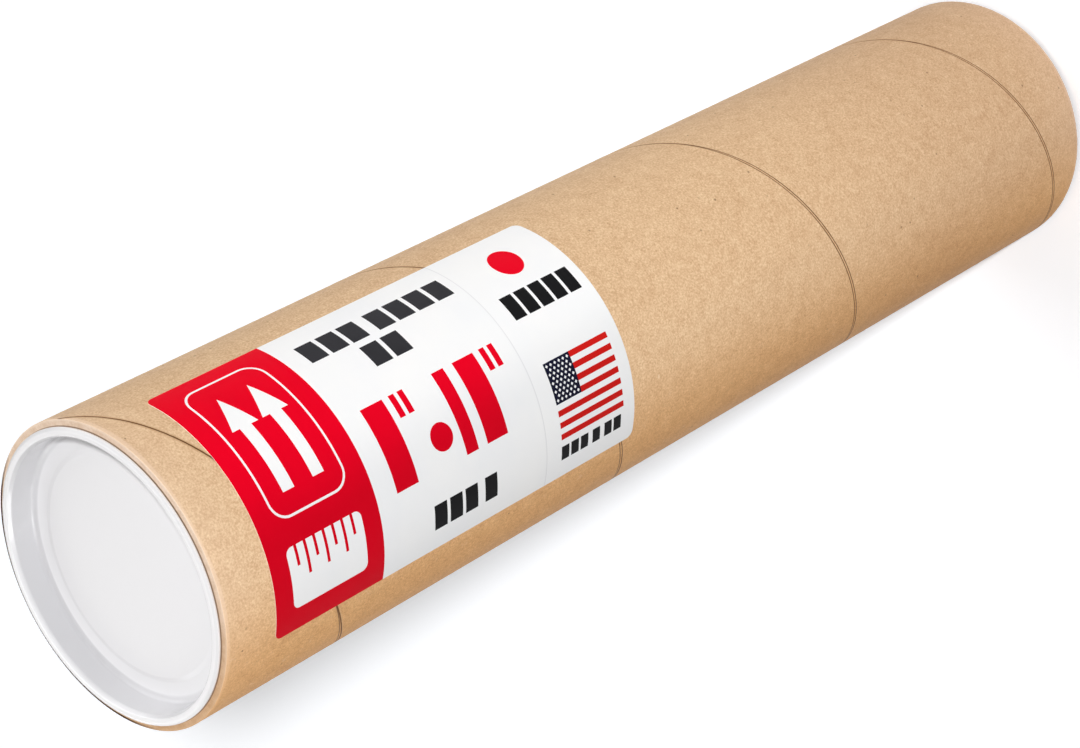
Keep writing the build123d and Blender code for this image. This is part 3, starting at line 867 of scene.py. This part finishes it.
boardFinishes = [
    kraftMaterial("kraftPaper"),
    cutEndMaterial(),
    kraftMaterial("kraftBore", tint=kraft["boreTint"], outside=False),
]
finishMesh("tubeBoard", tubeMesh(), boardFinishes, "tube", "tube_body", 35)
whitePlastic = plasticMaterial()
for name, body, node, rimHeight, upward in [
        ("seenCap", "top_cap", "top_end_cap", capHigh.z, 1),
        ("standingCap", "bottom_cap", "bottom_end_cap", 0.0, -1)]:
    finishMesh(name, capMesh(name, rimHeight, upward), [whitePlastic], body, node, 40)
paperBase = tubeRadius - label["sunk"] * mm
inkBase = labelRadius - label["sunk"] * mm
inkTop = inkBase + label["inkThickness"] * mm
sheet = [roundedRectangle(0, 0, label["length"], label["height"], label["corner"])]
wrappedPiece("wrappedLabel", sheet, paperBase, inkBase, "paper_label", paperMaterial())
for name, outlines, node, slotName in [
        ("redInk", redOutlines(), "red_print", "red_ink"),
        ("darkInk", darkOutlines(), "dark_print", "dark_ink"),
        ("navyInk", cornerOutlines(), "navy_print", "navy_ink")]:
    wrappedPiece(name, outlines, inkBase, inkTop, node, inkMaterial(name, **inks[name]))


# Floor, light and camera

studio = dict(
    floorSize=8.0,
    floorSeen=(1.12, 1.15, 1.2),  # the floor that the camera and reflections see, white where it is lit
    floorBounce=(0.34, 0.30, 0.26),  # and the one that lights the tube
    roomLight=0.22, roomColor=(1.0, 0.94, 0.87, 1.0),
    lamps=[  # direction to the lamp, its light at right angles, how wide it looks
        dict(name="keyLamp", toward=(0.0501, -0.8323, 0.552), light=0.91, spread=4.5, glossy=False),
        dict(name="sideLamp", toward=(0.86, 0.29, 0.42), light=0.33, spread=50),
        dict(name="backLamp", toward=(-0.35, 0.92, 0.18), light=0.26, spread=50),
    ],
    panels=[  # panels beside the seen cap: place, width and height, power
        dict(name="rimLamp", at=(-0.31, -0.1, 0.59), size=(0.04, 0.18), power=0.25),
        dict(name="streakLamp", at=(-0.43, -0.1, 0.6), size=(0.45, 0.1), power=0.9, diffuse=False),
    ],
)


def seenRay(nodes):
    # 1 for what the camera sees directly or mirrored, 0 for light that spreads in the room
    path = nodes.tree.nodes.new("ShaderNodeLightPath")
    mirrored = nodes.math("MAXIMUM", path.outputs["Is Glossy Ray"], path.outputs["Is Transmission Ray"])
    return nodes.math("MAXIMUM", path.outputs["Is Camera Ray"], mirrored)


def makeFloor():
    # One flat square
    size = studio["floorSize"] / 2
    mesh = bpy.data.meshes.new("floor")
    mesh.from_pydata([(-size, -size, 0), (size, -size, 0), (size, size, 0), (-size, size, 0)], [], [(0, 1, 2, 3)])
    floor = bpy.data.objects.new("floor", mesh)
    bpy.context.scene.collection.objects.link(floor)
    nodes = Nodes("paleFloor")
    paint = nodes.mix(seenRay(nodes), (*studio["floorBounce"], 1.0), (*studio["floorSeen"], 1.0))
    matte = nodes.tree.nodes.new("ShaderNodeBsdfDiffuse")
    nodes.link(paint, matte.inputs["Color"])
    nodes.tree.links.new(matte.outputs[0], nodes.output.inputs["Surface"])
    mesh.materials.append(nodes.material)


def makeRoom():
    # White for the camera and for reflections, a dim warm white for the light that it sheds
    world = bpy.data.worlds.new("studioRoom")
    world.use_nodes = True
    tree = world.node_tree
    background = tree.nodes["Background"]
    path = tree.nodes.new("ShaderNodeLightPath")
    seen = tree.nodes.new("ShaderNodeMath")
    seen.operation = "MAXIMUM"
    tree.links.new(path.outputs["Is Camera Ray"], seen.inputs[0])
    tree.links.new(path.outputs["Is Glossy Ray"], seen.inputs[1])
    strength = tree.nodes.new("ShaderNodeMapRange")
    tree.links.new(seen.outputs[0], strength.inputs["Value"])
    strength.inputs["To Min"].default_value = studio["roomLight"]
    strength.inputs["To Max"].default_value = 1.0
    tree.links.new(strength.outputs[0], background.inputs["Strength"])
    tone = tree.nodes.new("ShaderNodeMix")
    tone.data_type = "RGBA"
    tree.links.new(seen.outputs[0], tone.inputs["Factor"])
    tone.inputs[6].default_value = studio["roomColor"]
    tone.inputs[7].default_value = (1, 1, 1, 1)
    tree.links.new(tone.outputs[2], background.inputs["Color"])
    bpy.context.scene.world = world


def hang(name, lamp, place, away):
    # Puts a lamp at a place with its back to the direction away
    holder = bpy.data.objects.new(name, lamp)
    bpy.context.scene.collection.objects.link(holder)
    holder.location = place
    holder.rotation_mode = "QUATERNION"
    holder.rotation_quaternion = away.to_track_quat("Z", "Y")
    return holder


def makeLamp(name, toward, light, spread, glossy=True):
    # A distant round lamp: a white surface square to it reaches the brightness light
    lamp = bpy.data.lights.new(name, "SUN")
    lamp.energy = light * math.pi
    lamp.angle = math.radians(spread)
    away = Vector(toward).normalized()
    hang(name, lamp, away * 3, away).visible_glossy = glossy


def makePanel(name, at, size, power, diffuse=True):
    # A small rectangular lamp turned to the middle of the seen cap
    lamp = bpy.data.lights.new(name, "AREA")
    lamp.shape = "RECTANGLE"
    lamp.size, lamp.size_y = size
    lamp.energy = power
    hang(name, lamp, at, Vector(at) - Vector((0, 0, capHigh.z))).visible_diffuse = diffuse


camera = dict(
    eye=(-17.1, -725.3, 909.0),  # from the origin under the tube's axis
    heading=-0.774, down=41.373, roll=-118.246,
    lens=94.09,
)


def makeCamera():
    # Looks along +Y, then turned by heading, tipped down and rolled about its own line of sight
    view = bpy.data.cameras.new("camera")
    view.sensor_width = 36.0
    view.lens = camera["lens"]
    view.clip_start, view.clip_end = 0.05, 20.0
    holder = bpy.data.objects.new("camera", view)
    bpy.context.scene.collection.objects.link(holder)
    heading = Matrix.Rotation(math.radians(camera["heading"]), 4, "Z")
    tip = Matrix.Rotation(math.radians(90 - camera["down"]), 4, "X")
    aim = heading @ tip @ Matrix.Rotation(math.radians(camera["roll"]), 4, "Z")
    holder.matrix_world = Matrix.Translation(Vector(camera["eye"]) * mm) @ aim
    bpy.context.scene.camera = holder


makeFloor()
makeRoom()
for lampValues in studio["lamps"]:
    makeLamp(**lampValues)
for panelValues in studio["panels"]:
    makePanel(**panelValues)
makeCamera()
bpy.context.scene.view_settings.view_transform = "Standard"
print("scene ready")
